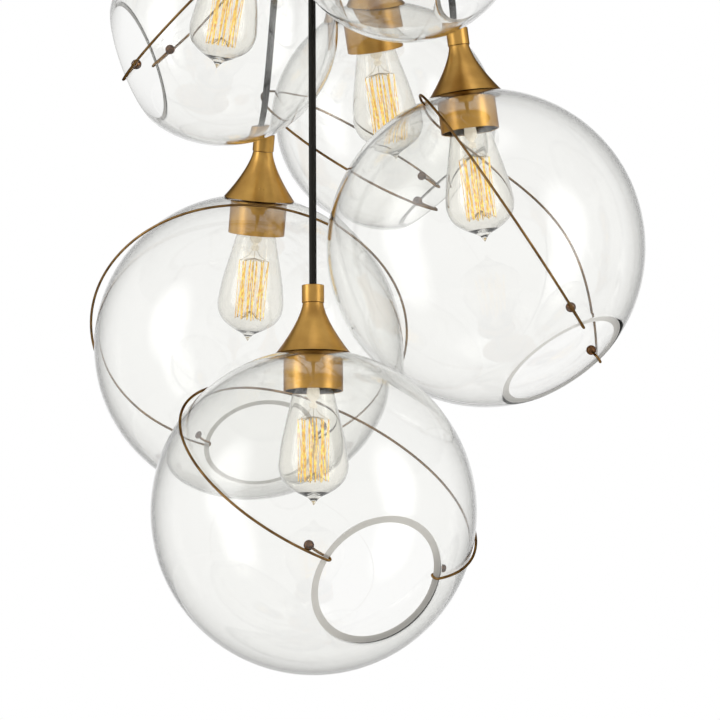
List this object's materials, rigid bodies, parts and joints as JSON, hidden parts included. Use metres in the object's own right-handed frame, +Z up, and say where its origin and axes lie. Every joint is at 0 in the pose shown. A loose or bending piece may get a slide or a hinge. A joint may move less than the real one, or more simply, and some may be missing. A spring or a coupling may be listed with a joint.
{
  "type": "cluster pendant",
  "caption": "Cluster pendant: clear blown-glass globes with side mouths and wire hoops hang on cords from a round brass canopy, each with a filament bulb.",
  "frame": {"origin": "middle of the bracket's upper face, which lies on the ceiling", "axes": "+Z up into the ceiling, the lamp hangs along -Z; +Y is away from the picture's viewer and +X to that viewer's right"},
  "size_m": [0.5429, 0.5927, 0.9734],
  "materials": {
    "brass": "aged satin",
    "aged_brass": "dark aged",
    "cord_black": "matt",
    "holder_black": "matt",
    "clear_glass": "clear blown glass",
    "bulb_glass": "faintly amber clear glass",
    "bulb_metal": "dull",
    "steel": "zinc plated",
    "terminal_white": "matt"
  },
  "bodies": {
    "canopy_set": {"canopy": "brass", "ceiling_bracket": "steel", "canopy_screw_left": "brass", "canopy_screw_right": "brass", "terminal_block": "terminal_white"},
    "front_low_drop": {"front_low_cord": "cord_black", "front_low_collar": "brass", "front_low_cap": "brass", "front_low_cup": "brass", "front_low_lampholder": "holder_black"},
    "front_low_glass": {"front_low_globe": "clear_glass"},
    "front_low_ring": {"front_low_hoop": "aged_brass"},
    "front_low_bulb": {"front_low_bulb_glass": "bulb_glass", "front_low_bulb_mount": "bulb_metal"},
    "rear_left_drop": {"rear_left_cord": "cord_black", "rear_left_collar": "brass", "rear_left_cap": "brass", "rear_left_cup": "brass", "rear_left_lampholder": "holder_black"},
    "rear_left_glass": {"rear_left_globe": "clear_glass"},
    "rear_left_ring": {"rear_left_hoop": "aged_brass"},
    "rear_left_bulb": {"rear_left_bulb_glass": "bulb_glass", "rear_left_bulb_mount": "bulb_metal"},
    "right_drop": {"right_cord": "cord_black", "right_collar": "brass", "right_cap": "brass", "right_cup": "brass", "right_lampholder": "holder_black"},
    "right_glass": {"right_globe": "clear_glass"},
    "right_ring": {"right_hoop": "aged_brass"},
    "right_bulb": {"right_bulb_glass": "bulb_glass", "right_bulb_mount": "bulb_metal"},
    "upper_left_drop": {"upper_left_cord": "cord_black", "upper_left_collar": "brass", "upper_left_cap": "brass", "upper_left_cup": "brass", "upper_left_lampholder": "holder_black"},
    "upper_left_glass": {"upper_left_globe": "clear_glass"},
    "upper_left_ring": {"upper_left_hoop": "aged_brass"},
    "upper_left_bulb": {"upper_left_bulb_glass": "bulb_glass", "upper_left_bulb_mount": "bulb_metal"},
    "rear_right_drop": {"rear_right_cord": "cord_black", "rear_right_collar": "brass", "rear_right_cap": "brass", "rear_right_cup": "brass", "rear_right_lampholder": "holder_black"},
    "rear_right_glass": {"rear_right_globe": "clear_glass"},
    "rear_right_ring": {"rear_right_hoop": "aged_brass"},
    "rear_right_bulb": {"rear_right_bulb_glass": "bulb_glass", "rear_right_bulb_mount": "bulb_metal"},
    "top_front_drop": {"top_front_cord": "cord_black", "top_front_collar": "brass", "top_front_cap": "brass", "top_front_cup": "brass", "top_front_lampholder": "holder_black"},
    "top_front_glass": {"top_front_globe": "clear_glass"},
    "top_front_ring": {"top_front_hoop": "aged_brass"},
    "top_front_bulb": {"top_front_bulb_glass": "bulb_glass", "top_front_bulb_mount": "bulb_metal"}
  },
  "joints": [
    {"name": "front_low_swing", "type": "hinge", "parent": "canopy_set", "child": "front_low_drop", "pos_m": [-0.037, -0.042, -0.02201], "axis": [-0.7121, 0.7021, 0], "range_deg": [0, 12]},
    {"name": "front_low_turn", "type": "hinge", "parent": "front_low_drop", "child": "front_low_glass", "pos_m": [-0.0332, -0.13299, -0.82167], "axis": [-0.0047, 0.1131, 0.9936], "range_deg": [-25, 25]},
    {"name": "front_low_hoop_tilt", "type": "hinge", "parent": "front_low_glass", "child": "front_low_ring", "pos_m": [0.02966, -0.24761, -0.86835], "axis": [0.8345, 0.5253, -0.1661], "range_deg": [-3, 8]},
    {"name": "front_low_bulb_out", "type": "slide", "parent": "front_low_drop", "child": "front_low_bulb", "axis": [0.0047, -0.1131, -0.9936], "range_m": [0, 0.026]},
    {"name": "rear_left_swing", "type": "hinge", "parent": "canopy_set", "child": "rear_left_drop", "pos_m": [-0.048, 0.077, -0.02201], "axis": [0.3987, 0.9171, 0], "range_deg": [0, 12]},
    {"name": "rear_left_turn", "type": "hinge", "parent": "rear_left_drop", "child": "rear_left_glass", "pos_m": [-0.1029, 0.15499, -0.66698], "axis": [0.0842, -0.1196, 0.9892], "range_deg": [-25, 25]},
    {"name": "rear_left_hoop_tilt", "type": "hinge", "parent": "rear_left_glass", "child": "rear_left_ring", "pos_m": [-0.09457, 0.25754, -0.75927], "axis": [0.9981, -0.0522, 0.0321], "range_deg": [-8, 15]},
    {"name": "rear_left_bulb_out", "type": "slide", "parent": "rear_left_drop", "child": "rear_left_bulb", "axis": [-0.0842, 0.1196, -0.9892], "range_m": [0, 0.026]},
    {"name": "right_swing", "type": "hinge", "parent": "canopy_set", "child": "right_drop", "pos_m": [0.058, 0.007, -0.02201], "axis": [-0.5018, -0.865, 0], "range_deg": [0, 12]},
    {"name": "right_turn", "type": "hinge", "parent": "right_drop", "child": "right_glass", "pos_m": [0.13039, -0.035, -0.57288], "axis": [-0.1299, 0.0754, 0.9887], "range_deg": [-25, 25]},
    {"name": "right_hoop_tilt", "type": "hinge", "parent": "right_glass", "child": "right_ring", "pos_m": [0.22737, -0.08593, -0.66297], "axis": [0.2001, 0.9294, -0.3101], "range_deg": [-4, 2]},
    {"name": "right_bulb_out", "type": "slide", "parent": "right_drop", "child": "right_bulb", "axis": [0.1299, -0.0754, -0.9887], "range_m": [0, 0.026]},
    {"name": "upper_left_swing", "type": "hinge", "parent": "canopy_set", "child": "upper_left_drop", "pos_m": [-0.064, -0.015, -0.02201], "axis": [0.325, 0.9457, 0], "range_deg": [0, 12]},
    {"name": "upper_left_turn", "type": "hinge", "parent": "upper_left_drop", "child": "upper_left_glass", "pos_m": [-0.12219, 0.005, -0.36249], "axis": [0.1682, -0.0578, 0.9841], "range_deg": [-15, 25]},
    {"name": "upper_left_hoop_tilt", "type": "hinge", "parent": "upper_left_glass", "child": "upper_left_ring", "pos_m": [-0.20304, 0.02672, -0.39932], "axis": [0.1839, 0.9686, 0.1676], "range_deg": [-8, 12]},
    {"name": "upper_left_bulb_out", "type": "slide", "parent": "upper_left_drop", "child": "upper_left_bulb", "axis": [-0.1682, 0.0578, -0.9841], "range_m": [0, 0.026]},
    {"name": "rear_right_swing", "type": "hinge", "parent": "canopy_set", "child": "rear_right_drop", "pos_m": [-0.0274, 0.1044, -0.02201], "axis": [0.7855, -0.6189, 0], "range_deg": [0, 12]},
    {"name": "rear_right_turn", "type": "hinge", "parent": "rear_right_drop", "child": "rear_right_glass", "pos_m": [0.0361, 0.18499, -0.43769], "axis": [-0.1483, -0.1882, 0.9709], "range_deg": [-10, 25]},
    {"name": "rear_right_hoop_tilt", "type": "hinge", "parent": "rear_right_glass", "child": "rear_right_ring", "pos_m": [0.08495, 0.20133, -0.51424], "axis": [0.0412, 0.9715, 0.2336], "range_deg": [-1, 10]},
    {"name": "rear_right_bulb_out", "type": "slide", "parent": "rear_right_drop", "child": "rear_right_bulb", "axis": [0.1483, 0.1882, -0.9709], "range_m": [0, 0.026]},
    {"name": "top_front_swing", "type": "hinge", "parent": "canopy_set", "child": "top_front_drop", "pos_m": [0.04, -0.10999, -0.02201], "axis": [-0.9701, -0.2425, 0], "range_deg": [0, 12]},
    {"name": "top_front_turn", "type": "hinge", "parent": "top_front_drop", "child": "top_front_glass", "pos_m": [0.052, -0.15799, -0.2744], "axis": [-0.0467, 0.1866, 0.9813], "range_deg": [-25, 25]},
    {"name": "top_front_hoop_tilt", "type": "hinge", "parent": "top_front_glass", "child": "top_front_ring", "pos_m": [0.12516, -0.11185, -0.30353], "axis": [-0.5021, 0.859, 0.0997], "range_deg": [-10, 15]},
    {"name": "top_front_bulb_out", "type": "slide", "parent": "top_front_drop", "child": "top_front_bulb", "axis": [0.0467, -0.1866, -0.9813], "range_m": [0, 0.026]}
  ]
}
